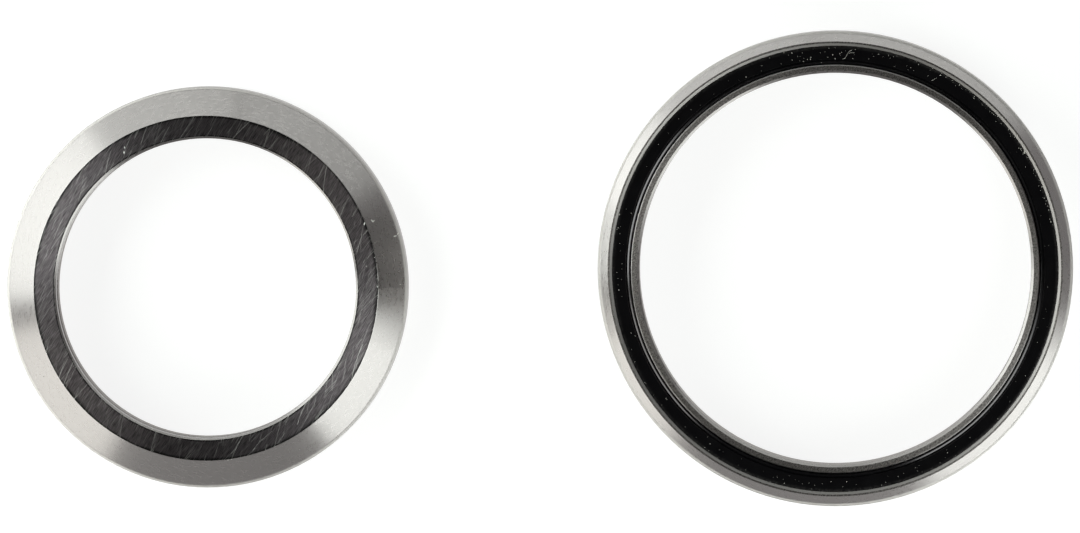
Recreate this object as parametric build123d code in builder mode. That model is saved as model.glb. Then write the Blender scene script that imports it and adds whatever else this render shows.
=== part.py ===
from build123d import *

import os
from dataclasses import dataclass
from math import cos, radians, sin, tan

# Bearings of a bicycle headset: the upper and the lower angular-contact cartridge, lying seat side up.
# Each has an outer ring with a 45 degree seat, an inner ring, caged balls and moulded rubber lip seals.
# The upper outer ring has a solid back over its balls, the lower cartridge is sealed on both sides.
# Millimetres, +Z up, origin on the resting plane at the middle of the pair.

# Where the two cartridges lie
axis_spacing = 64.19  # between the two axes, along X
axis_stagger = 2.0  # the upper axis lies this far towards -Y

# Upper cartridge
upper_bore = 30.5
upper_ball = 3.175  # one eighth inch ball
upper_ball_count = 20
upper_race_wall = 1.0375  # steel between the balls and the bore, and the balls and the outside
upper_cage_web = 0.2  # nylon under each ball
upper_ball_headroom = 0.25  # from the balls to the solid back
upper_back_thickness = 2.045
upper_back_width = 2.08  # flat ring on the back
upper_back_clearance = 0.08  # the back's hole is this much wider than the bore, per side
upper_back_chamfer = 0.19
upper_inner_seat = 1.8  # radial width of the inner ring's 45 degree seat
upper_seat_round = 1.1  # between the outer seat and the outside

# Lower cartridge
lower_bore = 40.0
lower_ball = 2.381  # three thirty-second inch ball
lower_ball_count = 26
lower_race_wall = 0.9345
lower_cage_web = 0.6
lower_ball_headroom = 1.069  # from the balls to the top seal
lower_top_recess = 0.465  # step that the top seal sits on
lower_land_width = 0.17  # flat between the top recess and the seat
lower_inner_face = 0.82  # inner ring's top face, bore to corner
lower_bore_chamfer = 0.25
lower_inner_seat = 1.2
lower_seat_round = 0.15

# Shared by both cartridges
seat_angle = 45.0  # seats and ball contact, from the horizontal
conformity = 0.53  # raceway radius over ball diameter
high_shoulder = 35.0  # raceway beyond the contact on the loaded side, degrees
low_shoulder = 60.0  # raceway beyond the contact on the open side, degrees
ball_clearance = 0.03
pocket_clearance = 0.06  # ball to cage
cage_clearance = 0.15  # cage to rings
cage_horn = 0.3  # horns reach past the balls' middle by this share of the ball's radius
cage_slot = 0.42  # radius of the slot that parts each pair of horns
seal_thickness = 0.8
seal_recess = 0.3  # seal face below the ring's face
bottom_recess = 0.2  # step that the bottom seal sits on
recess_chamfer = 0.25
seal_snap = 0.12  # rim bead held in the ring's groove
seal_fit = 0.02
seal_lip_gap = 0.08  # lip to inner ring
seal_lip_ridge = 0.14  # height of the ridge along the lip
seal_lip_slope = 32.0  # ridge's outward slope, from the horizontal, degrees
seal_lip_round = 0.05  # top of the ridge
seal_lip_root = 0.45  # taper under the lip
seal_to_cage = 0.15
inner_recess = 0.15  # inner ring above the resting plane
back_gap = 0.15  # inner ring to the solid back
flush_gap = 0.12  # lower inner ring below the outer ring's land
heel_chamfer = 0.3  # outer ring's lower edge
edge_break = 0.08  # ground edges


@dataclass
class Cartridge:
    # What the pieces of one cartridge share
    x: float
    y: float
    bore: float
    ball: float
    race_wall: float
    cage_web: float

    @property
    def section(self):
        # Radial section through the axis: local X is the radius, local Y the height
        return Plane(origin=(self.x, self.y, 0), x_dir=(1, 0, 0), z_dir=(0, -1, 0))

    @property
    def axis(self):
        return Axis((self.x, self.y, 0), (0, 0, 1))

    @property
    def bore_radius(self):
        return self.bore / 2

    @property
    def pitch_radius(self):
        return self.bore_radius + self.race_wall + self.ball / 2

    @property
    def outer_radius(self):
        return self.pitch_radius + self.ball / 2 + self.race_wall

    @property
    def pocket_radius(self):
        return self.ball / 2 + pocket_clearance

    @property
    def cage_foot(self):
        return seal_recess + seal_thickness + seal_fit + seal_to_cage

    @property
    def ball_height(self):
        return self.cage_foot + self.cage_web + self.pocket_radius

    @property
    def ball_plane(self):
        return Plane(origin=(self.x, self.y, self.ball_height))

    def race_point(self, side, angle):
        # Point of the raceway arc, side +1 on the outer ring and -1 on the inner ring
        race_radius = conformity * self.ball
        shift = race_radius - self.ball / 2 - ball_clearance
        middle_r = self.pitch_radius - side * shift * cos(radians(seat_angle))
        middle_z = self.ball_height - side * shift * sin(radians(seat_angle))
        return (
            middle_r + side * race_radius * cos(radians(angle)),
            middle_z + side * race_radius * sin(radians(angle)),
        )

    def race_arc(self, side):
        # High shoulder, contact and low shoulder of one raceway
        return (
            self.race_point(side, seat_angle + high_shoulder),
            self.race_point(side, seat_angle),
            self.race_point(side, seat_angle - low_shoulder),
        )

    @property
    def bottom_seal_radius(self):
        return self.race_arc(1)[2][0] + bottom_recess

    @property
    def bottom_lip_radius(self):
        return self.race_arc(-1)[0][0] + seal_lip_gap


def recess_wall(radius, face, inward):
    # Wall of a seal recess from its seat to its mouth, with the groove for the seal's rim.
    # The seal's face is at height face, and its inside lies towards inward, +1 up or -1 down.
    seat = face + inward * (seal_thickness + seal_fit)
    mouth = face - inward * seal_recess
    return [
        (radius, seat),
        (radius, face + inward * seal_thickness * 3 / 4),
        (radius + seal_snap, face + inward * seal_thickness / 2),
        (radius, face + inward * seal_thickness / 4),
        (radius, mouth + inward * recess_chamfer),
        (radius + recess_chamfer, mouth),
    ]


def make_seal(cartridge, rim_radius, lip_radius, face, inward):
    # Moulded rubber ring: a rim bead that snaps into the outer ring, and a ridged lip at the inner ring
    rim = rim_radius - seal_fit
    ridge = lip_radius + seal_lip_ridge
    dip = ridge + seal_lip_ridge / tan(radians(seal_lip_slope))

    def at(radius, depth):
        return (radius, face + inward * depth)

    with BuildPart() as seal:
        with BuildSketch(cartridge.section) as profile:
            with BuildLine():
                Polyline(
                    at(ridge, 0),
                    at(dip, seal_lip_ridge),
                    at(dip + seal_lip_ridge, 0),
                    at(rim, 0),
                    at(rim, seal_thickness / 4),
                    at(rim + seal_snap, seal_thickness / 2),
                    at(rim, seal_thickness * 3 / 4),
                    at(rim, seal_thickness),
                    at(lip_radius + seal_lip_root, seal_thickness),
                    at(lip_radius, seal_thickness / 2),
                    at(lip_radius, seal_lip_ridge),
                    close=True,
                )
            make_face()
            fillet(profile.vertices().sort_by_distance(at(ridge, 0))[0], seal_lip_round)
            fillet(profile.vertices().sort_by_distance(at(rim, 0))[0], edge_break)
        revolve(axis=cartridge.axis)
    return seal.part


def make_cage(cartridge, count):
    # Crown cage: a ring below the balls with a pair of springy horns between each two pockets
    inside = cartridge.race_arc(-1)[0][0] + cage_clearance
    outside = cartridge.race_arc(1)[2][0] - cage_clearance
    horn_top = cartridge.ball_height + cage_horn * cartridge.ball / 2
    half_pitch = 180 / count

    with BuildPart() as cage:
        with BuildSketch(cartridge.section):
            with BuildLine():
                Polyline(
                    (inside, cartridge.cage_foot),
                    (outside, cartridge.cage_foot),
                    (outside, horn_top),
                    (inside, horn_top),
                    close=True,
                )
            make_face()
        revolve(axis=cartridge.axis)
        with Locations(cartridge.ball_plane):
            with PolarLocations(cartridge.pitch_radius, count):
                Sphere(cartridge.pocket_radius, mode=Mode.SUBTRACT)
        with Locations(cartridge.ball_plane.offset(horn_top - cartridge.ball_height)):
            with PolarLocations(cartridge.pitch_radius, count, start_angle=half_pitch):
                Cylinder(cage_slot, 2 * (outside - inside), rotation=(0, 90, 0), mode=Mode.SUBTRACT)
    return cage.part


def make_balls(cartridge, count):
    # One ball for each pocket of the cage
    balls = []
    for place in PolarLocations(cartridge.pitch_radius, count):
        with BuildPart() as ball:
            with Locations(cartridge.ball_plane.location * place):
                Sphere(cartridge.ball / 2)
        balls.append(ball.part)
    return balls


def write_piece(piece, name):
    piece.label = name
    export_step(piece, f"parts/{name}.step")


os.makedirs("parts", exist_ok=True)

upper = Cartridge(0, 0, upper_bore, upper_ball, upper_race_wall, upper_cage_web)
lower = Cartridge(0, 0, lower_bore, lower_ball, lower_race_wall, lower_cage_web)
pair_length = upper.outer_radius + axis_spacing + lower.outer_radius
upper.x = upper.outer_radius - pair_length / 2
upper.y = -axis_stagger
lower.x = pair_length / 2 - lower.outer_radius

# Upper outer ring: seat, solid ground back, raceway and the recess of the seal underneath
back_underside = upper.ball_height + upper.ball / 2 + upper_ball_headroom
upper_top = back_underside + upper_back_thickness
back_hole = upper.bore_radius + upper_back_clearance
back_edge = back_hole + upper_back_chamfer + upper_back_width
upper_seat_foot = upper_top - (upper.outer_radius - back_edge) * tan(radians(seat_angle))
upper_outer_race = upper.race_arc(1)

with BuildPart() as upper_outer_ring:
    with BuildSketch(upper.section) as upper_outer_profile:
        with BuildLine():
            Polyline(
                (back_hole, upper_top - upper_back_chamfer),
                (back_hole, back_underside),
                (upper_outer_race[0][0], back_underside),
                upper_outer_race[0],
            )
            ThreePointArc(*upper_outer_race)
            Polyline(
                upper_outer_race[2],
                (upper_outer_race[2][0], seal_recess + seal_thickness + seal_fit),
                *recess_wall(upper.bottom_seal_radius, seal_recess, 1),
                (upper.outer_radius - heel_chamfer, 0),
                (upper.outer_radius, heel_chamfer),
                (upper.outer_radius, upper_seat_foot),
                (back_edge, upper_top),
                (back_hole + upper_back_chamfer, upper_top),
                (back_hole, upper_top - upper_back_chamfer),
            )
        make_face()
        seat_corner = (upper.outer_radius, upper_seat_foot)
        fillet(upper_outer_profile.vertices().sort_by_distance(seat_corner)[0], upper_seat_round)
        fillet(upper_outer_profile.vertices().sort_by_distance((back_edge, upper_top))[0], edge_break)
    revolve(axis=upper.axis)
write_piece(upper_outer_ring.part, "upper_outer_ring")

# Upper inner ring: shorter than the outer one, it runs under the solid back
upper_inner_top = back_underside - back_gap
upper_inner_race = upper.race_arc(-1)

with BuildPart() as upper_inner_ring:
    with BuildSketch(upper.section):
        with BuildLine():
            Polyline(
                upper_inner_race[2],
                (upper_inner_race[2][0], upper_inner_top - edge_break),
                (upper_inner_race[2][0] - edge_break, upper_inner_top),
                (upper.bore_radius + edge_break, upper_inner_top),
                (upper.bore_radius, upper_inner_top - edge_break),
                (upper.bore_radius, inner_recess + upper_inner_seat * tan(radians(seat_angle))),
                (upper.bore_radius + upper_inner_seat, inner_recess),
                (upper_inner_race[0][0] - edge_break, inner_recess),
                (upper_inner_race[0][0], inner_recess + edge_break),
                upper_inner_race[0],
            )
            ThreePointArc(*upper_inner_race)
        make_face()
    revolve(axis=upper.axis)
write_piece(upper_inner_ring.part, "upper_inner_ring")

# Lower outer ring: narrow seat, a thin land and a seal recess on each side
lower_top_face = lower.ball_height + lower.ball / 2 + lower_ball_headroom + seal_fit + seal_thickness
lower_top = lower_top_face + seal_recess
lower_outer_race = lower.race_arc(1)
top_seal_radius = lower_outer_race[0][0] + lower_top_recess
land_edge = top_seal_radius + recess_chamfer + lower_land_width
lower_seat_foot = lower_top - (lower.outer_radius - land_edge) * tan(radians(seat_angle))

with BuildPart() as lower_outer_ring:
    with BuildSketch(lower.section) as lower_outer_profile:
        with BuildLine():
            Polyline(
                *reversed(recess_wall(top_seal_radius, lower_top_face, -1)),
                (lower_outer_race[0][0], lower_top_face - seal_thickness - seal_fit),
                lower_outer_race[0],
            )
            ThreePointArc(*lower_outer_race)
            Polyline(
                lower_outer_race[2],
                (lower_outer_race[2][0], seal_recess + seal_thickness + seal_fit),
                *recess_wall(lower.bottom_seal_radius, seal_recess, 1),
                (lower.outer_radius - heel_chamfer, 0),
                (lower.outer_radius, heel_chamfer),
                (lower.outer_radius, lower_seat_foot),
                (land_edge, lower_top),
                (top_seal_radius + recess_chamfer, lower_top),
            )
        make_face()
        seat_corner = (lower.outer_radius, lower_seat_foot)
        fillet(lower_outer_profile.vertices().sort_by_distance(seat_corner)[0], lower_seat_round)
    revolve(axis=lower.axis)
write_piece(lower_outer_ring.part, "lower_outer_ring")

# Lower inner ring: a ground face just below the outer ring's land, and a relief above its low shoulder
lower_inner_race = lower.race_arc(-1)
lower_inner_top = lower_top - flush_gap
face_corner = lower.bore_radius + lower_inner_face
relief_foot = lower.ball_height + lower.ball / 2

with BuildPart() as lower_inner_ring:
    with BuildSketch(lower.section):
        with BuildLine():
            Polyline(
                lower_inner_race[2],
                (lower_inner_race[2][0], lower.ball_height + lower.ball / 4),
                (face_corner, relief_foot),
                (face_corner, lower_inner_top - edge_break),
                (face_corner - edge_break, lower_inner_top),
                (lower.bore_radius + lower_bore_chamfer, lower_inner_top),
                (lower.bore_radius, lower_inner_top - lower_bore_chamfer),
                (lower.bore_radius, inner_recess + lower_inner_seat * tan(radians(seat_angle))),
                (lower.bore_radius + lower_inner_seat, inner_recess),
                (lower_inner_race[0][0] - edge_break, inner_recess),
                (lower_inner_race[0][0], inner_recess + edge_break),
                lower_inner_race[0],
            )
            ThreePointArc(*lower_inner_race)
        make_face()
    revolve(axis=lower.axis)
write_piece(lower_inner_ring.part, "lower_inner_ring")

# Rubber seals
upper_seal = make_seal(upper, upper.bottom_seal_radius, upper.bottom_lip_radius, seal_recess, 1)
write_piece(upper_seal, "upper_seal")
lower_bottom_seal = make_seal(lower, lower.bottom_seal_radius, lower.bottom_lip_radius, seal_recess, 1)
write_piece(lower_bottom_seal, "lower_bottom_seal")
lower_top_seal = make_seal(lower, top_seal_radius, face_corner + seal_lip_gap, lower_top_face, -1)
write_piece(lower_top_seal, "lower_top_seal")

# Cages and balls
for name, cartridge, count in (("upper", upper, upper_ball_count), ("lower", lower, lower_ball_count)):
    write_piece(make_cage(cartridge, count), f"{name}_cage")
    for number, ball in enumerate(make_balls(cartridge, count), start=1):
        write_piece(ball, f"{name}_ball_{number:02d}")
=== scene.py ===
import math

import bpy
from mathutils import Matrix, Vector


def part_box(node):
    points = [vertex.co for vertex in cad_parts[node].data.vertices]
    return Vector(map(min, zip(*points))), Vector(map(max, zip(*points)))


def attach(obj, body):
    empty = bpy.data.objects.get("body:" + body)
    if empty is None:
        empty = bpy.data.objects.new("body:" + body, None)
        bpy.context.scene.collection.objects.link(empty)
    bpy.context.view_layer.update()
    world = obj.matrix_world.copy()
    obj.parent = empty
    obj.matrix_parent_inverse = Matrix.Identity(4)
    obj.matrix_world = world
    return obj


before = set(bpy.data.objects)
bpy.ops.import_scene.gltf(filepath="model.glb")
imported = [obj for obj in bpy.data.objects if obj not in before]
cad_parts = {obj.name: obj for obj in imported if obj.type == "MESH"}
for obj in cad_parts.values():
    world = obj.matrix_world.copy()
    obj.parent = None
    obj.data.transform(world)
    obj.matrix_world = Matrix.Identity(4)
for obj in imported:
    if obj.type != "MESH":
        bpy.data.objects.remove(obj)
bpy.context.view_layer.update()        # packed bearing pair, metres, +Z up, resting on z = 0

mm = 0.001
noiseSpan = {"From Min": 0.3, "From Max": 0.7}  # most values of a noise texture lie between these


def linear(hexColour):  # sRGB hex to linear RGBA
    parts = [int(hexColour[i:i + 2], 16) / 255 for i in (1, 3, 5)]
    return tuple(c / 12.92 if c <= 0.04045 else ((c + 0.055) / 1.055) ** 2.4 for c in parts) + (1.0,)


def addNode(tree, kind, inputs=None, **settings):  # an input is a value, or another node's output to link
    node = tree.nodes.new(kind)
    for key, value in settings.items():
        setattr(node, key, value)
    for key, value in (inputs or {}).items():
        if isinstance(value, bpy.types.NodeSocket):
            tree.links.new(value, node.inputs[key])
        else:
            node.inputs[key].default_value = value
    return node


def newMaterial(name):
    material = bpy.data.materials.new(name)
    material.use_nodes = True
    material.node_tree.nodes.clear()
    return material, material.node_tree


def ringAxis(node):
    low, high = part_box(node)
    return (low + high) / 2


def topOf(node):
    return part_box(node)[1].z


upperAxis = ringAxis("upper_outer_ring")  # each bearing's axis, from the frame
lowerAxis = ringAxis("lower_outer_ring")


# Camera: far off with a long lens, looking almost straight down
cameraSet = {
    "place": Vector((40.0, 46.0, 1500.0)) * mm,
    "aim": Vector((0.06, 0.165, 4.2)) * mm,
    "pixelsPerMm": 9.79,    # at the aim point
    "pictureWidth": 1080,   # pixels
    "sensorWidth": 36.0,
    "clipStart": 10 * mm,
}


def makeCamera(settings):
    data = bpy.data.cameras.new("camera")
    camera = bpy.data.objects.new("camera", data)
    bpy.context.collection.objects.link(camera)
    back = settings["place"] - settings["aim"]
    focalPixels = settings["pixelsPerMm"] * back.length / mm
    data.sensor_fit = "HORIZONTAL"
    data.sensor_width = settings["sensorWidth"]
    data.lens = focalPixels / settings["pictureWidth"] * settings["sensorWidth"]
    data.clip_start = settings["clipStart"]
    zAxis = back.normalized()
    xAxis = Vector((0, 1, 0)).cross(zAxis).normalized()  # the picture's up is +Y
    turn = Matrix((xAxis, zAxis.cross(xAxis), zAxis)).transposed().to_4x4()
    camera.matrix_world = Matrix.Translation(settings["place"]) @ turn
    bpy.context.scene.camera = camera


makeCamera(cameraSet)
print("camera ready")


# Studio: paper shaded near the part and plain white further out, a dim room, light panels round the part
floorSet = {
    "half": 4.0,             # metres
    "paper": "#888886",      # takes light and shadow near the part
    "farPaper": "#000000",   # further out the glow alone shows
    "glow": 0.84,
    "farGlow": 1.0,
    "shadedMm": (70, 112),   # between these distances the shaded paper gives way to plain white
}
roomSet = {"colour": "#FFFFFF", "strength": 0.03}
panelTint = "#F6FFFB"  # for a panel that has no tint of its own
panels = {  # two ends on the floor plan and height in mm, then radiance and soft share at each end
    "lowerRight": {"ends": ((118, -12), (126, -236)), "tall": 190,
                   "radiance": (4.4, 5.1), "soft": (0.16, 0.06)},
    "front": {"ends": ((116, -238), (-146, -208)), "tall": 60,
              "radiance": (0.2, 0.2), "soft": (0.02, 0.02)},
    "lowerLeft": {"ends": ((-150, -205), (-242, -46)), "tall": 210,
                  "radiance": (4.25, 4.15), "soft": (0.10, 0.05), "tint": "#FAFFF8"},
    "left": {"ends": ((-242, -28), (-174, 184)), "tall": 290,
             "radiance": (5.9, 5.3), "soft": (0.05, 0.22)},
    "backLeft": {"ends": ((-200, 165), (0, 250)), "tall": 80,
                 "radiance": (2.9, 2.3), "soft": (0.02, 0.02)},
    "backRight": {"ends": ((0, 250), (312, 172)), "tall": 80,
                  "radiance": (2.1, 1.7), "soft": (0.02, 0.25)},
    "right": {"ends": ((190, 160), (236, 8)), "tall": 200,
              "radiance": (0.10, 0.10), "soft": (0.2, 0.2)},
}


def makeFloor(settings):
    half = settings["half"]
    corners = [(-half, -half, 0), (half, -half, 0), (half, half, 0), (-half, half, 0)]
    mesh = bpy.data.meshes.new("floor")
    mesh.from_pydata(corners, [], [(0, 1, 2, 3)])
    floor = bpy.data.objects.new("floor", mesh)
    bpy.context.collection.objects.link(floor)
    material, tree = newMaterial("whitePaper")  # uncoated paper: even and quite matt
    place = addNode(tree, "ShaderNodeTexCoord")
    away = addNode(tree, "ShaderNodeVectorMath", {0: place.outputs["Object"]}, operation="LENGTH")
    near, far = (reach * mm for reach in settings["shadedMm"])
    span = {"Value": away.outputs["Value"], "From Min": near, "From Max": far}
    bare = addNode(tree, "ShaderNodeMapRange", span, interpolation_type="SMOOTHSTEP")
    colour = addNode(tree, "ShaderNodeMix", {0: bare.outputs[0], 6: linear(settings["paper"]),
                                             7: linear(settings["farPaper"])}, data_type="RGBA")
    paper = addNode(tree, "ShaderNodeBsdfDiffuse", {"Color": colour.outputs[2]})
    rays = addNode(tree, "ShaderNodeLightPath")
    seen = rays.outputs["Is Camera Ray"]
    for kind in ("Is Glossy Ray", "Is Transmission Ray"):  # the glow is seen and mirrored, but lights nothing
        either = addNode(tree, "ShaderNodeMath", {0: seen, 1: rays.outputs[kind]}, operation="MAXIMUM")
        seen = either.outputs[0]
    white = addNode(tree, "ShaderNodeMapRange", {"Value": bare.outputs[0], "To Min": settings["glow"],
                                                 "To Max": settings["farGlow"]})
    level = addNode(tree, "ShaderNodeMath", {0: seen, 1: white.outputs[0]}, operation="MULTIPLY")
    glow = addNode(tree, "ShaderNodeEmission", {"Strength": level.outputs[0]})
    both = addNode(tree, "ShaderNodeAddShader", {0: paper.outputs[0], 1: glow.outputs[0]})
    addNode(tree, "ShaderNodeOutputMaterial", {"Surface": both.outputs[0]})
    mesh.materials.append(material)


def makeRoom(settings):
    world = bpy.data.worlds.new("room")
    world.use_nodes = True
    backdrop = world.node_tree.nodes["Background"]
    backdrop.inputs["Color"].default_value = linear(settings["colour"])
    backdrop.inputs["Strength"].default_value = settings["strength"]
    bpy.context.scene.world = world


def makePanel(name, settings):
    first, second = (Vector(end) * mm for end in settings["ends"])
    tall = settings["tall"] * mm
    middle = Vector(((first.x + second.x) / 2, (first.y + second.y) / 2, tall / 2))
    along = Vector((second.x - first.x, second.y - first.y, 0)).normalized()
    upright = Vector((0, 0, 1))
    behind = along.cross(upright)
    startLevel, endLevel = settings["radiance"]
    startSoft, endSoft = settings["soft"]
    if behind.dot(middle) < 0:  # a lamp shines along its own -Z, so its back faces away from the part
        along, behind = -along, -behind
        startLevel, endLevel, startSoft, endSoft = endLevel, startLevel, endSoft, startSoft
    data = bpy.data.lights.new(name, "AREA")
    data.shape = "RECTANGLE"
    data.size = (second - first).length
    data.size_y = tall
    data.energy = math.pi * data.size * data.size_y  # radiance of 1, times the level below
    data.use_nodes = True
    tree = data.node_tree
    tree.nodes.clear()
    panel = addNode(tree, "ShaderNodeNewGeometry")
    across = addNode(tree, "ShaderNodeSeparateXYZ", {"Vector": panel.outputs["Parametric"]})
    level = addNode(tree, "ShaderNodeMapRange", {"Value": across.outputs["X"], "To Min": startLevel,
                                                 "To Max": endLevel})
    fadeIn = addNode(tree, "ShaderNodeMapRange", {"Value": across.outputs["X"], "From Max": startSoft},
                     interpolation_type="SMOOTHSTEP")
    fadeOut = addNode(tree, "ShaderNodeMapRange", {"Value": across.outputs["X"], "From Min": 1.0,
                                                   "From Max": 1.0 - endSoft},
                      interpolation_type="SMOOTHSTEP")
    ends = addNode(tree, "ShaderNodeMath", {0: fadeIn.outputs[0], 1: fadeOut.outputs[0]},
                   operation="MULTIPLY")
    strength = addNode(tree, "ShaderNodeMath", {0: level.outputs[0], 1: ends.outputs[0]},
                       operation="MULTIPLY")
    tint = linear(settings.get("tint", panelTint))
    glow = addNode(tree, "ShaderNodeEmission", {"Color": tint, "Strength": strength.outputs[0]})
    addNode(tree, "ShaderNodeOutputLight", {"Surface": glow.outputs[0]})
    light = bpy.data.objects.new(name, data)
    bpy.context.collection.objects.link(light)
    turn = Matrix((along, upright, behind)).transposed().to_4x4()
    light.matrix_world = Matrix.Translation(middle) @ turn
    light.visible_camera = False


makeFloor(floorSet)
makeRoom(roomSet)
for panelName, panelSettings in panels.items():
    makePanel(panelName, panelSettings)
bpy.context.scene.view_settings.view_transform = "Standard"
print("studio ready")


# Bearing steel, turned then ground: satin, grooves round the axis stretch each reflection to the middle
steelSet = {
    "colour": "#918C8B",
    "edgeTint": {"outer": "#FFFFFF", "inner": "#D2D0CC"},  # glint at a grazing angle, by ring
    "roughness": 0.30,
    "anisotropic": 0.75,
    "grooveTurn": 0.25,          # of a full turn, which lays the stretch across the grooves
    "grooveMm": 0.12,            # real lines are finer, drawn this coarse to show
    "streakMm": (0.45, 0.26),    # grinding grain along and across the turning, also drawn coarse
    "streakShade": 0.035,
    "streakRough": 0.05,
    "streakDepth": 0.35,         # of the grooves' own depth
    "bumpMm": 0.002,
    "bumpStrength": 0.5,
    "topSlackMm": 0.004,         # this near to a ring's top counts as its flat face
    "outside": (  # rounded edge and ground wall of an outer ring: how far in from its outside they start
        # the rounded edge is coloured lighter than the steel beside it: a painted highlight along the rim
        {"insideMm": 0.32, "softMm": 0.12, "colour": "#CDC8C6", "roughness": 0.95},
        {"insideMm": 0.10, "softMm": 0.04, "colour": "#B0ACAA", "roughness": 0.40}),
}


def ringPlace(tree, axis):  # place measured from the ring's own axis, distance from the axis, height
    place = addNode(tree, "ShaderNodeTexCoord")
    centred = addNode(tree, "ShaderNodeMapping", {"Vector": place.outputs["Object"],
                                                  "Location": (-axis.x, -axis.y, 0)})
    height = addNode(tree, "ShaderNodeSeparateXYZ", {"Vector": centred.outputs[0]})
    flat = addNode(tree, "ShaderNodeVectorMath", {0: centred.outputs[0], 1: (1, 1, 0)}, operation="MULTIPLY")
    radius = addNode(tree, "ShaderNodeVectorMath", {0: flat.outputs[0]}, operation="LENGTH")
    return flat.outputs[0], radius.outputs["Value"], height.outputs["Z"]


def blendSkin(tree, mask, skin, over):  # lay one colour and roughness over another
    colour = addNode(tree, "ShaderNodeMix", {0: mask, 6: skin[0], 7: over[0]}, data_type="RGBA")
    rough = addNode(tree, "ShaderNodeMix", {0: mask, 2: skin[1], 3: over[1]}, data_type="FLOAT")
    return colour.outputs[2], rough.outputs[0]


def turnedSkin(tree, axis, node=None):  # where a point lies, and turned steel's skin and relief there
    place, radius, height = ringPlace(tree, axis)
    skin = (linear(steelSet["colour"]), steelSet["roughness"])
    if node is not None:
        low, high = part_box(node)
        # on an outer ring: a lighter rounded edge, which is a painted highlight, then the ground wall
        for part in steelSet["outside"]:
            start = (high.x - low.x) / 2 - part["insideMm"] * mm
            there = addNode(tree, "ShaderNodeMapRange", {"Value": radius, "From Min": start,
                                                         "From Max": start + part["softMm"] * mm})
            skin = blendSkin(tree, there.outputs[0], skin, (linear(part["colour"]), part["roughness"]))
    lathe = addNode(tree, "ShaderNodeCombineXYZ", {"X": radius, "Y": height})
    grooves = addNode(tree, "ShaderNodeTexNoise", {"Vector": lathe.outputs[0], "Detail": 2.0,
                                                   "Scale": 1 / (steelSet["grooveMm"] * mm)})
    side = addNode(tree, "ShaderNodeSeparateXYZ", {"Vector": place})
    turn = addNode(tree, "ShaderNodeMath", {0: side.outputs["Y"], 1: side.outputs["X"]}, operation="ARCTAN2")
    arc = addNode(tree, "ShaderNodeMath", {0: turn.outputs[0], 1: radius}, operation="MULTIPLY")
    spun = addNode(tree, "ShaderNodeCombineXYZ", {"X": arc.outputs[0], "Y": radius, "Z": height})
    along, across = (1 / (size * mm) for size in steelSet["streakMm"])
    spun = addNode(tree, "ShaderNodeVectorMath", {0: spun.outputs[0], 1: (along, across, across)},
                   operation="MULTIPLY")
    streaks = addNode(tree, "ShaderNodeTexNoise", {"Vector": spun.outputs[0], "Detail": 3.0, "Scale": 1.0})
    relief = addNode(tree, "ShaderNodeMath", {0: streaks.outputs["Fac"], 1: steelSet["streakDepth"],
                                              2: grooves.outputs["Fac"]}, operation="MULTIPLY_ADD")
    grain = {"Value": streaks.outputs["Fac"], **noiseSpan}
    shade = addNode(tree, "ShaderNodeMapRange", {**grain, "To Min": 1 - steelSet["streakShade"],
                                                 "To Max": 1 + steelSet["streakShade"]})
    colour = addNode(tree, "ShaderNodeMix", {0: 1.0, 6: skin[0], 7: shade.outputs[0]},
                     data_type="RGBA", blend_type="MULTIPLY")
    uneven = addNode(tree, "ShaderNodeMapRange", {**grain, "To Min": -steelSet["streakRough"],
                                                  "To Max": steelSet["streakRough"]})
    rough = addNode(tree, "ShaderNodeMath", {0: uneven.outputs[0], 1: skin[1]}, operation="ADD")
    return (place, radius, height), (colour.outputs[2], rough.outputs[0]), relief.outputs[0]


def onTop(tree, height, node):  # mask of a ring's flat top face
    level = topOf(node) - steelSet["topSlackMm"] * mm
    return addNode(tree, "ShaderNodeMath", {0: height, 1: level}, operation="GREATER_THAN").outputs[0]


def finishSteel(tree, skin, relief, anisotropic, ring):
    bump = addNode(tree, "ShaderNodeBump", {"Height": relief, "Strength": steelSet["bumpStrength"],
                                            "Distance": steelSet["bumpMm"] * mm})
    shader = addNode(tree, "ShaderNodeBsdfPrincipled", {
        "Base Color": skin[0], "Metallic": 1.0, "Roughness": skin[1], "Normal": bump.outputs[0],
        "Specular Tint": linear(steelSet["edgeTint"][ring]), "Anisotropic": anisotropic,
        "Anisotropic Rotation": steelSet["grooveTurn"]})
    addNode(tree, "ShaderNodeOutputMaterial", {"Surface": shader.outputs[0]})


def strokeColour(tree, place, settings):  # short lapping or grinding strokes, all lying one way
    across, along = settings["strokeMm"]
    brushed = addNode(tree, "ShaderNodeMapping", {
        "Vector": place, "Rotation": (0, 0, math.radians(settings["strokeTurn"])),
        "Scale": (along * mm, across * mm, 1)}, vector_type="TEXTURE")
    noise = addNode(tree, "ShaderNodeTexNoise", {"Vector": brushed.outputs[0], "Detail": 3.0, "Scale": 1.0})
    darkest, lightest = settings["strokeShade"]
    shade = addNode(tree, "ShaderNodeMapRange", {"Value": noise.outputs["Fac"], **noiseSpan,
                                                 "To Min": darkest, "To Max": lightest})
    tint = linear(settings["tint"])[:3]
    return addNode(tree, "ShaderNodeVectorMath", {0: tint, 3: shade.outputs[0]}, operation="SCALE").outputs[0]


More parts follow.
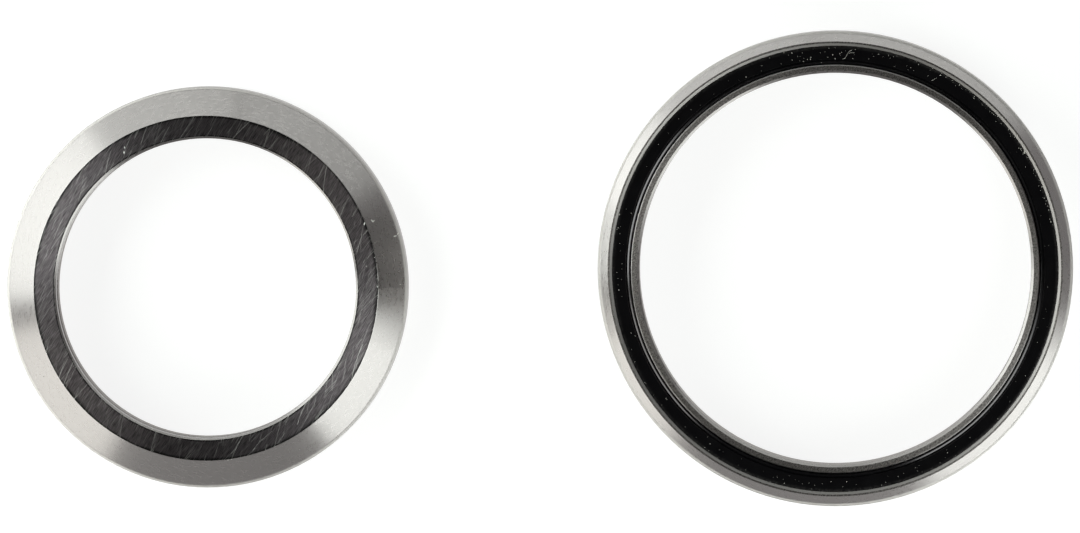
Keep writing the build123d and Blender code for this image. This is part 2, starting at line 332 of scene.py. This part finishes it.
def scratchLines(tree, place, settings, layer):  # one bowed hairline in some cells of a loose mosaic
    cell, halfWidth, bare = layer
    shiftX, shiftY = (cell * count * mm for count in settings["scratchShift"])
    shifted = addNode(tree, "ShaderNodeMapping", {"Vector": place, "Location": (shiftX, shiftY, 0)})
    cells = addNode(tree, "ShaderNodeTexVoronoi", {"Vector": shifted.outputs[0], "Scale": 1 / (cell * mm)},
                    voronoi_dimensions="2D")
    away = addNode(tree, "ShaderNodeVectorMath", {0: shifted.outputs[0], 1: cells.outputs["Position"]},
                   operation="SUBTRACT")
    luck = addNode(tree, "ShaderNodeSeparateXYZ", {"Vector": cells.outputs["Color"]})
    least, most = (-math.radians(turn) for turn in settings["scratchTurn"])
    angle = addNode(tree, "ShaderNodeMapRange", {"Value": luck.outputs["X"], "To Min": least, "To Max": most})
    swung = addNode(tree, "ShaderNodeVectorRotate", {"Vector": away.outputs[0], "Angle": angle.outputs[0]},
                    rotation_type="Z_AXIS")
    side = addNode(tree, "ShaderNodeSeparateXYZ", {"Vector": swung.outputs[0]})
    square = addNode(tree, "ShaderNodeMath", {0: side.outputs["X"], 1: 2.0}, operation="POWER")
    tightest = 0.5 / (settings["scratchBendMm"] * mm)  # an arc of radius r bows by x squared over 2 r
    bow = addNode(tree, "ShaderNodeMapRange", {"Value": luck.outputs["Z"], "To Min": 0.0, "To Max": tightest})
    off = addNode(tree, "ShaderNodeMath", {0: square.outputs[0], 1: bow.outputs[0], 2: side.outputs["Y"]},
                  operation="MULTIPLY_ADD")
    off = addNode(tree, "ShaderNodeMath", {0: off.outputs[0]}, operation="ABSOLUTE")
    line = addNode(tree, "ShaderNodeMapRange", {"Value": off.outputs[0], "From Max": halfWidth * mm,
                                                "To Min": 1.0, "To Max": 0.0})
    depth = addNode(tree, "ShaderNodeMapRange", {"Value": luck.outputs["Y"], "From Min": bare})
    drawn = addNode(tree, "ShaderNodeMath", {0: line.outputs[0], 1: depth.outputs[0]}, operation="MULTIPLY")
    return drawn.outputs[0]


def nickMarks(tree, place, settings, nicks):  # small oval dents at given places
    marks = None
    for x, y, size, turn in nicks:
        oval = addNode(tree, "ShaderNodeMapping", {
            "Vector": place, "Location": (x * mm, y * mm, 0), "Rotation": (0, 0, math.radians(turn)),
            "Scale": (size * mm, settings["nickSlim"] * size * mm, 1)}, vector_type="TEXTURE")
        away = addNode(tree, "ShaderNodeVectorMath", {0: oval.outputs[0]}, operation="LENGTH")
        dent = addNode(tree, "ShaderNodeMapRange", {
            "Value": away.outputs["Value"], "From Min": settings["nickCore"], "From Max": 1.0,
            "To Min": 1.0, "To Max": 0.0}).outputs[0]
        if marks is not None:
            dent = addNode(tree, "ShaderNodeMath", {0: marks, 1: dent}, operation="MAXIMUM").outputs[0]
        marks = dent
    return marks


# Flat back of the upper ring, lapped dark and scratched by handling
lappedBack = {
    "tint": "#837B7E",
    "roughness": 0.36,
    "strokeMm": (0.07, 0.9),       # across and along; drawn coarser than the real lapping lines
    "strokeTurn": 58,              # degrees from +X
    "strokeShade": (0.40, 1.55),   # darkest and lightest stroke, times the tint
    "scratchTint": "#D6D3CF",
    "scratchRough": 0.66,
    "scratchTurn": (42, 80),       # degrees from +X
    "scratchBendMm": 9.0,          # tightest bow of a scratch
    "scratchShift": (7, 3),        # cells by which each layer is moved, to part their patterns
    "scratches": (                 # cell and half width in mm, share of bare cells; real hairlines are finer
        (4.2, 0.034, 0.35), (3.3, 0.032, 0.30), (2.7, 0.028, 0.25), (2.1, 0.026, 0.20),
        (1.6, 0.024, 0.20), (1.25, 0.022, 0.20), (0.95, 0.020, 0.20)),
    # painted shade along the flat's edges, partly unpolished steel; the pits share this colour
    "rimShadeAndPitTint": "#2E2D2D",
    "rimMm": (0.14, 0.62),         # painted shaded edge, narrowest and widest
    "rimWaveMm": 5,                # its width comes and goes over this length
    "rimWaveSpan": {"From Min": 0.35, "From Max": 0.7},
    "boreRim": 1.8,                # how many times narrower the painted shaded edge is along the bore
    "edgesMm": (15.52, 17.60),     # radii of the flat's two edges
    "nickTint": "#FFFDF8",
    "nickSlim": 0.36,              # width of a nick to its length
    "nickCore": 0.5,               # share of a nick that shows in full
    "nicks": (                     # x and y from the axis, half length in mm, turn in degrees
        (16.96, 6.87, 0.22, -55), (17.10, 6.86, 0.18, 40), (16.20, 6.62, 0.18, 75), (17.26, 4.63, 0.08, 0),
        (17.20, 3.15, 0.07, 60), (17.55, 0.18, 0.12, 85), (19.77, 0.34, 0.09, 20), (16.40, 2.25, 0.09, 70),
        (19.25, 5.28, 0.22, 12), (19.50, 5.50, 0.16, 55), (19.72, 5.34, 0.14, -5), (2.25, -17.56, 0.09, 10),
        (2.62, -17.48, 0.08, 0), (7.05, -16.16, 0.08, 30), (-8.29, 14.36, 0.14, 88),
        (-8.34, 13.86, 0.20, 86)),
    "nicksAboveMm": 4.15,          # the wall below the seat has none
    "pits": ((-16.65, -9.06, 0.10, 30),),  # dark spots
}


def makeLappedSteel(name, axis, node, settings):
    material, tree = newMaterial(name)
    (place, radius, height), skin, relief = turnedSkin(tree, axis, node)
    wave = addNode(tree, "ShaderNodeTexNoise", {"Vector": place, "Detail": 3.0,
                                                "Scale": 1 / (settings["rimWaveMm"] * mm)})
    narrow, wide = settings["rimMm"]
    band = addNode(tree, "ShaderNodeMapRange", {"Value": wave.outputs["Fac"], **settings["rimWaveSpan"],
                                                "To Min": narrow * mm, "To Max": wide * mm})
    # painted shade: the flat turns darker towards both its edges, partly unpolished steel
    inner, outer = settings["edgesMm"]
    fromOuter = addNode(tree, "ShaderNodeMath", {0: outer * mm, 1: radius}, operation="SUBTRACT")
    fromInner = addNode(tree, "ShaderNodeMath", {0: radius, 1: inner * mm}, operation="SUBTRACT")
    fromInner = addNode(tree, "ShaderNodeMath", {0: fromInner.outputs[0], 1: settings["boreRim"]},
                        operation="MULTIPLY")
    edge = addNode(tree, "ShaderNodeMath", {0: fromOuter.outputs[0], 1: fromInner.outputs[0]},
                   operation="MINIMUM")
    rim = addNode(tree, "ShaderNodeMapRange", {"Value": edge.outputs[0], "From Max": band.outputs[0],
                                               "To Min": 1.0, "To Max": 0.0}, interpolation_type="SMOOTHSTEP")
    shadeAndPitSkin = (linear(settings["rimShadeAndPitTint"]), settings["roughness"])
    scratchSkin = (linear(settings["scratchTint"]), settings["scratchRough"])
    nickSkin = (linear(settings["nickTint"]), settings["scratchRough"])
    back = (strokeColour(tree, place, settings), settings["roughness"])
    back = blendSkin(tree, rim.outputs[0], back, shadeAndPitSkin)
    for layer in settings["scratches"]:
        back = blendSkin(tree, scratchLines(tree, place, settings, layer), back, scratchSkin)
    skin = blendSkin(tree, onTop(tree, height, node), skin, back)
    skin = blendSkin(tree, nickMarks(tree, place, settings, settings["pits"]), skin, shadeAndPitSkin)
    seat = addNode(tree, "ShaderNodeMath", {0: height, 1: settings["nicksAboveMm"] * mm},
                   operation="GREATER_THAN")
    dents = addNode(tree, "ShaderNodeMath", {0: nickMarks(tree, place, settings, settings["nicks"]),
                                             1: seat.outputs[0]}, operation="MULTIPLY")
    skin = blendSkin(tree, dents.outputs[0], skin, nickSkin)
    finishSteel(tree, skin, relief, steelSet["anisotropic"], "outer")
    return material


# Top faces of the lower rings, ground flat: darker, with short strokes
groundFace = {
    "tint": "#797371",
    "strokeMm": (0.10, 0.22),     # across and along; drawn coarser than the real grinding lines
    "strokeTurn": 48,             # degrees from +X
    "strokeShade": (0.25, 1.9),   # darkest and lightest stroke, times the tint
    "roughness": 0.50,
    "anisotropic": 0.5,
    "chamferMm": 23.03,           # the outer ring's chamfer lies inside this radius
    "chamferTint": "#A19C9A",
    "chamferRough": 0.62,
}


def makeGroundSteel(name, axis, node, settings, ring):
    material, tree = newMaterial(name)
    (place, radius, height), skin, relief = turnedSkin(tree, axis, node if ring == "outer" else None)
    if ring == "outer":
        inside = addNode(tree, "ShaderNodeMath", {0: radius, 1: settings["chamferMm"] * mm},
                         operation="LESS_THAN")
        chamferSkin = (linear(settings["chamferTint"]), settings["chamferRough"])
        skin = blendSkin(tree, inside.outputs[0], skin, chamferSkin)
    faceSkin = (strokeColour(tree, place, settings), settings["roughness"])
    skin = blendSkin(tree, onTop(tree, height, node), skin, faceSkin)
    finishSteel(tree, skin, relief, settings["anisotropic"], ring)
    return material


def makeTurnedSteel(name, axis):
    material, tree = newMaterial(name)
    skin, relief = turnedSkin(tree, axis)[1:]
    finishSteel(tree, skin, relief, steelSet["anisotropic"], "inner")
    return material


# Nitrile rubber, moulded: deep black with a soft sheen where it rolls over
rubberSet = {
    "colour": "#030304",
    "bloom": "#070708",
    "roughness": (0.15, 0.20),
    "specular": 0.7,
    "sheenTint": "#FFF6FA",
    "grainMm": 0.08,
    "cloudMm": 1.5,
    "bumpMm": 0.0008,
    "bumpStrength": 0.3,
}
rimHighlightSet = {  # painted highlight along the top seal's rounded rim, lighter grey in patches
    "colour": "#383635",
    "rimMm": (22.40, 22.74),   # the painted highlight grows between these radii
    "patchMm": 0.25,
    "patchSpan": {"From Min": 0.35, "From Max": 0.75},
}


def makeRubber(name, settings, axis=None):
    material, tree = newMaterial(name)
    place = addNode(tree, "ShaderNodeTexCoord")
    grain = addNode(tree, "ShaderNodeTexNoise", {"Vector": place.outputs["Object"], "Detail": 3.0,
                                                 "Scale": 1 / (settings["grainMm"] * mm)})
    cloud = addNode(tree, "ShaderNodeTexNoise", {"Vector": place.outputs["Object"], "Detail": 3.0,
                                                 "Scale": 1 / (settings["cloudMm"] * mm)})
    skin = addNode(tree, "ShaderNodeMix", {0: cloud.outputs["Fac"], 6: linear(settings["colour"]),
                                           7: linear(settings["bloom"])}, data_type="RGBA")
    # painted highlight: the top seal turns lighter grey in patches along its rounded outer rim
    if axis is not None:
        centre, radius = ringPlace(tree, axis)[:2]
        thinRim, thickRim = (rim * mm for rim in rimHighlightSet["rimMm"])
        near = addNode(tree, "ShaderNodeMapRange", {"Value": radius, "From Min": thinRim,
                                                    "From Max": thickRim})
        patch = addNode(tree, "ShaderNodeTexNoise", {"Vector": centre, "Detail": 3.0,
                                                     "Scale": 1 / (rimHighlightSet["patchMm"] * mm)})
        thin = addNode(tree, "ShaderNodeMapRange", {"Value": patch.outputs["Fac"], **rimHighlightSet["patchSpan"]})
        paintedRimHighlight = addNode(tree, "ShaderNodeMath", {0: near.outputs[0], 1: thin.outputs[0]}, operation="MULTIPLY")
        skin = addNode(tree, "ShaderNodeMix", {0: paintedRimHighlight.outputs[0], 6: skin.outputs[2],
                                               7: linear(rimHighlightSet["colour"])}, data_type="RGBA")
    glossy, dull = settings["roughness"]
    sheen = addNode(tree, "ShaderNodeMapRange", {"Value": cloud.outputs["Fac"], **noiseSpan,
                                                 "To Min": glossy, "To Max": dull})
    bump = addNode(tree, "ShaderNodeBump", {"Height": grain.outputs["Fac"],
                                            "Strength": settings["bumpStrength"],
                                            "Distance": settings["bumpMm"] * mm})
    shader = addNode(tree, "ShaderNodeBsdfPrincipled", {
        "Base Color": skin.outputs[2], "Roughness": sheen.outputs[0], "Normal": bump.outputs[0],
        "Specular IOR Level": settings["specular"], "Specular Tint": linear(settings["sheenTint"])})
    addNode(tree, "ShaderNodeOutputMaterial", {"Surface": shader.outputs[0]})
    return material


# Chrome steel balls, lapped: mirror bright with a trace of grease
ballSet = {
    "colour": "#C9C9CB",
    "grease": "#A9A498",
    "roughness": (0.06, 0.22),   # dry, greased
    "smearMm": 0.9,
    "smearSpan": {"From Min": 0.45, "From Max": 0.65},
}


def makeBallSteel(name, settings):
    material, tree = newMaterial(name)
    place = addNode(tree, "ShaderNodeTexCoord")
    smear = addNode(tree, "ShaderNodeTexNoise", {"Vector": place.outputs["Object"], "Detail": 4.0,
                                                 "Scale": 1 / (settings["smearMm"] * mm)})
    wet = addNode(tree, "ShaderNodeMapRange", {"Value": smear.outputs["Fac"], **settings["smearSpan"]})
    skin = addNode(tree, "ShaderNodeMix", {0: wet.outputs[0], 6: linear(settings["colour"]),
                                           7: linear(settings["grease"])}, data_type="RGBA")
    dry, greased = settings["roughness"]
    rough = addNode(tree, "ShaderNodeMapRange", {"Value": wet.outputs[0], "To Min": dry, "To Max": greased})
    shader = addNode(tree, "ShaderNodeBsdfPrincipled", {"Base Color": skin.outputs[2], "Metallic": 1.0,
                                                        "Roughness": rough.outputs[0]})
    addNode(tree, "ShaderNodeOutputMaterial", {"Surface": shader.outputs[0]})
    return material


# Polyamide 66 cage, moulded in natural colour: ivory, satin, a little cloudy
cageSet = {
    "colour": "#D6CDB4",
    "shadow": "#BDB295",
    "roughness": (0.38, 0.52),
    "cloudMm": 1.2,
    "grainMm": 0.06,
    "bumpMm": 0.002,
    "bumpStrength": 0.3,
}


def makeCageNylon(name, settings):
    material, tree = newMaterial(name)
    place = addNode(tree, "ShaderNodeTexCoord")
    cloud = addNode(tree, "ShaderNodeTexNoise", {"Vector": place.outputs["Object"], "Detail": 3.0,
                                                 "Scale": 1 / (settings["cloudMm"] * mm)})
    grain = addNode(tree, "ShaderNodeTexNoise", {"Vector": place.outputs["Object"], "Detail": 2.0,
                                                 "Scale": 1 / (settings["grainMm"] * mm)})
    skin = addNode(tree, "ShaderNodeMix", {0: cloud.outputs["Fac"], 6: linear(settings["colour"]),
                                           7: linear(settings["shadow"])}, data_type="RGBA")
    glossy, dull = settings["roughness"]
    rough = addNode(tree, "ShaderNodeMapRange", {"Value": cloud.outputs["Fac"], **noiseSpan,
                                                 "To Min": glossy, "To Max": dull})
    bump = addNode(tree, "ShaderNodeBump", {"Height": grain.outputs["Fac"],
                                            "Strength": settings["bumpStrength"],
                                            "Distance": settings["bumpMm"] * mm})
    shader = addNode(tree, "ShaderNodeBsdfPrincipled", {
        "Base Color": skin.outputs[2], "Roughness": rough.outputs[0], "Normal": bump.outputs[0]})
    addNode(tree, "ShaderNodeOutputMaterial", {"Surface": shader.outputs[0]})
    return material


def dress(nodes, material):
    for node in nodes:
        bpy.data.objects[node].material_slots[0].material = material


dress(["upper_outer_ring"], makeLappedSteel("lappedSteel", upperAxis, "upper_outer_ring", lappedBack))
dress(["upper_inner_ring"], makeTurnedSteel("turnedSteel", upperAxis))
for ring in ("outer", "inner"):
    node = "lower_" + ring + "_ring"
    dress([node], makeGroundSteel("groundSteel_" + ring, lowerAxis, node, groundFace, ring))
dress(["upper_seal", "lower_bottom_seal"], makeRubber("nitrileRubber", rubberSet))
# the top seal carries a painted highlight along its rim
dress(["lower_top_seal"], makeRubber("rimHighlightNitrileRubber", rubberSet, lowerAxis))
dress([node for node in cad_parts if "_ball_" in node], makeBallSteel("chromeSteel", ballSet))
dress(["upper_cage", "lower_cage"], makeCageNylon("polyamide66", cageSet))
print("materials ready")


# Dust on the lower bearing's top seal: loose flecks, some larger bits, and lint
dustSet = {
    "bedMm": (21.50, 22.72),        # radii between which dust lies
    "rows": 4,
    "sectors": 90,
    "sparse": (0.45, 0.042),        # flecks per square mm and their size in mm, where no zone says otherwise
    "zones": (                      # degrees clockwise from +X, first row from the inside, flecks, size
        (292, 348, 3, 7.0, 0.070),  # crumbs along the outer edge
        (248, 292, 0, 2.0, 0.052),
        (292, 325, 1, 0.9, 0.045),
        (150, 215, 0, 0.4, 0.050),
        (58, 128, 0, 1.1, 0.044)),
    "sizeFactor": 1.0,
    "crumbShape": ((0.5, 0.35, 0.3), (1.5, 0.9, 0.6)),  # least and most along each way, times the size
    "crumbTurn": (6.28, 6.28, 6.28),                    # most turn in radians, so that crumbs lie any way up
    "seed": 7,
    "bits": (  # larger pieces: x and y from the bearing's axis in mm, size in mm
        (-2.48, 21.57, 0.085), (-2.55, 21.38, 0.06), (-3.61, 21.21, 0.06), (-3.25, 21.16, 0.065),
        (-1.41, 21.05, 0.06), (-0.27, 21.84, 0.07), (0.45, 21.95, 0.085), (-0.02, 21.43, 0.075),
        (2.05, 22.38, 0.07), (-9.09, 19.57, 0.09), (5.44, 22.19, 0.07), (6.27, 21.69, 0.06),
        (19.32, 11.95, 0.19), (19.38, 12.10, 0.16), (-22.00, 5.55, 0.11), (-22.12, 4.20, 0.09),
        (-20.81, 5.66, 0.06), (-21.97, 2.59, 0.055), (-21.58, 2.47, 0.045), (-21.77, -0.02, 0.055),
        (-22.28, -0.37, 0.055), (-22.15, -0.98, 0.05), (-21.79, -1.10, 0.045), (-22.15, -1.64, 0.055),
        (-22.05, -2.16, 0.055), (-17.16, -13.35, 0.10), (-17.24, -13.22, 0.07), (-19.40, -11.61, 0.07),
        (-19.30, -11.72, 0.05), (-18.52, -12.88, 0.05)),
    "colours": ("#D8D4CC", "#79756F"),
    "patchMm": 0.4,
}
lintSet = {
    "radiusMm": 0.014,
    "sides": 6,
    "strands": (  # given paths on the seal, x and y from the bearing's axis in mm
        ((0.72, 21.41), (0.96, 21.49), (1.23, 21.92), (1.38, 22.16), (1.70, 22.31)),
        ((1.36, 21.98), (1.62, 22.06), (1.95, 22.02)),
        ((9.80, 19.20), (10.05, 19.32), (10.28, 19.45)),
    ),
    "colours": ("#85817B", "#D8D4CC"),
    "patchMm": 0.2,
}
mattSet = {"roughness": 0.9, "patchSpan": {"From Min": 0.35, "From Max": 0.65}}  # for dust and lint alike


def dustIn(settings, turn, row):  # how much dust lies on a patch of the bed, and how coarse it is
    for first, last, firstRow, density, size in settings["zones"]:
        if row >= firstRow and first <= turn <= last:
            return density, size
    return settings["sparse"]


def dustBed(settings, axis, height):  # ring of faces with a density each, and a loose point for each bit
    inner, outer = settings["bedMm"]
    rows, sectors = settings["rows"], settings["sectors"]
    points, faces, density, fleckSize = [], [], [], []
    for row in range(rows + 1):
        radius = (inner + (outer - inner) * row / rows) * mm
        for sector in range(sectors):
            angle = 2 * math.pi * sector / sectors
            points.append((axis.x + radius * math.cos(angle), axis.y + radius * math.sin(angle), height))
    for row in range(rows):
        for sector in range(sectors):
            after = (sector + 1) % sectors
            faces.append((row * sectors + sector, (row + 1) * sectors + sector,
                          (row + 1) * sectors + after, row * sectors + after))
            thick, size = dustIn(settings, 360 - (sector + 0.5) * 360 / sectors, row)  # at the face's middle
            density.append(thick / mm ** 2)
            fleckSize.append(size * mm)
    bitSize = [0.0] * len(points)
    for x, y, size in settings["bits"]:
        points.append((axis.x + x * mm, axis.y + y * mm, height))
        bitSize.append(size * mm)
    mesh = bpy.data.meshes.new("dustBed")
    mesh.from_pydata(points, [], faces)
    mesh.attributes.new("fleckDensity", "FLOAT", "FACE").data.foreach_set("value", density)
    mesh.attributes.new("fleckSize", "FLOAT", "FACE").data.foreach_set("value", fleckSize)
    mesh.attributes.new("bitSize", "FLOAT", "POINT").data.foreach_set("value", bitSize)
    return mesh


def strandMesh(settings, axis, height):
    points, edges = [], []
    for strand in settings["strands"]:
        for step, (x, y) in enumerate(strand):
            if step:
                edges.append((len(points) - 1, len(points)))
            points.append((axis.x + x * mm, axis.y + y * mm, height))
    mesh = bpy.data.meshes.new("strands")
    mesh.from_pydata(points, edges, [])
    return mesh


def newTree(name, inputs):
    tree = bpy.data.node_groups.new(name, "GeometryNodeTree")
    tree.interface.new_socket("Geometry", in_out="INPUT", socket_type="NodeSocketGeometry")
    tree.interface.new_socket("Geometry", in_out="OUTPUT", socket_type="NodeSocketGeometry")
    for label, kind in inputs.items():
        tree.interface.new_socket(label, in_out="INPUT", socket_type=kind)
    return tree, addNode(tree, "NodeGroupInput")


def dustTree(settings):  # crumbs strewn by density, and one at each loose point
    tree, given = newTree("dustScatter", {"Size factor": "NodeSocketFloat", "Seed": "NodeSocketInt",
                                          "Material": "NodeSocketMaterial"})
    density = addNode(tree, "GeometryNodeInputNamedAttribute", {"Name": "fleckDensity"}, data_type="FLOAT")
    loose = addNode(tree, "GeometryNodeDistributePointsOnFaces", {
        "Mesh": given.outputs["Geometry"], "Density": density.outputs[0], "Seed": given.outputs["Seed"]})
    size = addNode(tree, "GeometryNodeInputNamedAttribute", {"Name": "bitSize"}, data_type="FLOAT")
    isBit = addNode(tree, "FunctionNodeCompare", {0: size.outputs[0], 1: 0.0}, data_type="FLOAT",
                    operation="GREATER_THAN")
    bits = addNode(tree, "GeometryNodeMeshToPoints", {"Mesh": given.outputs["Geometry"],
                                                      "Selection": isBit.outputs[0]})
    crumb = addNode(tree, "GeometryNodeMeshIcoSphere", {"Radius": 1.0, "Subdivisions": 1})
    turn = addNode(tree, "FunctionNodeRandomValue", {1: settings["crumbTurn"], "Seed": given.outputs["Seed"]},
                   data_type="FLOAT_VECTOR")
    least, most = settings["crumbShape"]
    shape = addNode(tree, "FunctionNodeRandomValue", {0: least, 1: most, "Seed": given.outputs["Seed"]},
                    data_type="FLOAT_VECTOR")
    shape = addNode(tree, "ShaderNodeVectorMath", {0: shape.outputs[0], 3: given.outputs["Size factor"]},
                    operation="SCALE")
    fine = addNode(tree, "GeometryNodeInputNamedAttribute", {"Name": "fleckSize"}, data_type="FLOAT")
    fleck = addNode(tree, "ShaderNodeVectorMath", {0: shape.outputs[0], 3: fine.outputs[0]},
                    operation="SCALE")
    bulk = addNode(tree, "ShaderNodeVectorMath", {0: shape.outputs[0], 3: size.outputs[0]},
                   operation="SCALE")
    flecks = addNode(tree, "GeometryNodeInstanceOnPoints", {
        "Points": loose.outputs["Points"], "Instance": crumb.outputs["Mesh"], "Rotation": turn.outputs[0],
        "Scale": fleck.outputs[0]})
    lumps = addNode(tree, "GeometryNodeInstanceOnPoints", {
        "Points": bits.outputs[0], "Instance": crumb.outputs["Mesh"], "Rotation": turn.outputs[0],
        "Scale": bulk.outputs[0]})
    both = addNode(tree, "GeometryNodeJoinGeometry")
    for instances in (flecks, lumps):
        tree.links.new(instances.outputs[0], both.inputs[0])
    real = addNode(tree, "GeometryNodeRealizeInstances", {"Geometry": both.outputs[0]})
    painted = addNode(tree, "GeometryNodeSetMaterial", {"Geometry": real.outputs[0],
                                                        "Material": given.outputs["Material"]})
    addNode(tree, "NodeGroupOutput", {"Geometry": painted.outputs[0]})
    return tree


def lintTree(settings):  # a round thread along each path
    tree, given = newTree("lintStrand", {"Radius": "NodeSocketFloat", "Material": "NodeSocketMaterial"})
    path = addNode(tree, "GeometryNodeMeshToCurve", {"Mesh": given.outputs["Geometry"]})
    smooth = addNode(tree, "GeometryNodeCurveSplineType", {"Curve": path.outputs[0]},
                     spline_type="CATMULL_ROM")
    section = addNode(tree, "GeometryNodeCurvePrimitiveCircle", {"Resolution": settings["sides"],
                                                                 "Radius": given.outputs["Radius"]})
    strand = addNode(tree, "GeometryNodeCurveToMesh", {
        "Curve": smooth.outputs[0], "Profile Curve": section.outputs[0], "Fill Caps": True})
    real = addNode(tree, "GeometryNodeRealizeInstances", {"Geometry": strand.outputs[0]})
    painted = addNode(tree, "GeometryNodeSetMaterial", {"Geometry": real.outputs[0],
                                                        "Material": given.outputs["Material"]})
    addNode(tree, "NodeGroupOutput", {"Geometry": painted.outputs[0]})
    return tree


def grow(name, mesh, tree, values):  # run a tree on a mesh and keep the result as a plain mesh piece
    source = bpy.data.objects.new(name + "Source", mesh)
    bpy.context.collection.objects.link(source)
    modifier = source.modifiers.new(name, "NODES")
    modifier.node_group = tree
    for item in tree.interface.items_tree:
        if item.in_out == "INPUT" and item.name in values:
            modifier[item.identifier] = values[item.name]
    graph = bpy.context.evaluated_depsgraph_get()
    grown = bpy.data.meshes.new_from_object(source.evaluated_get(graph), depsgraph=graph)
    grown.name = name
    piece = bpy.data.objects.new(name, grown)
    bpy.context.collection.objects.link(piece)
    bpy.data.objects.remove(source)
    return piece


def makeDustMaterial(name, settings):  # house dust and lint: pale, quite matt, uneven
    material, tree = newMaterial(name)
    place = addNode(tree, "ShaderNodeTexCoord")
    patch = addNode(tree, "ShaderNodeTexNoise", {"Vector": place.outputs["Object"], "Detail": 2.0,
                                                 "Scale": 1 / (settings["patchMm"] * mm)})
    spread = addNode(tree, "ShaderNodeMapRange", {"Value": patch.outputs["Fac"], **mattSet["patchSpan"]})
    first, second = (linear(colour) for colour in settings["colours"])
    skin = addNode(tree, "ShaderNodeMix", {0: spread.outputs[0], 6: first, 7: second}, data_type="RGBA")
    shader = addNode(tree, "ShaderNodeBsdfPrincipled", {"Base Color": skin.outputs[2],
                                                        "Roughness": mattSet["roughness"]})
    addNode(tree, "ShaderNodeOutputMaterial", {"Surface": shader.outputs[0]})
    return material


sealFace = topOf("lower_top_seal")
dust = grow("seal_dust", dustBed(dustSet, lowerAxis, sealFace), dustTree(dustSet), {
    "Size factor": dustSet["sizeFactor"], "Seed": dustSet["seed"],
    "Material": makeDustMaterial("houseDust", dustSet)})
lint = grow("seal_lint", strandMesh(lintSet, lowerAxis, sealFace), lintTree(lintSet), {
    "Radius": lintSet["radiusMm"] * mm, "Material": makeDustMaterial("cottonLint", lintSet)})
for piece in (dust, lint):
    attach(piece, "outer_rings")
    print(piece.name, len(piece.data.polygons), "faces")
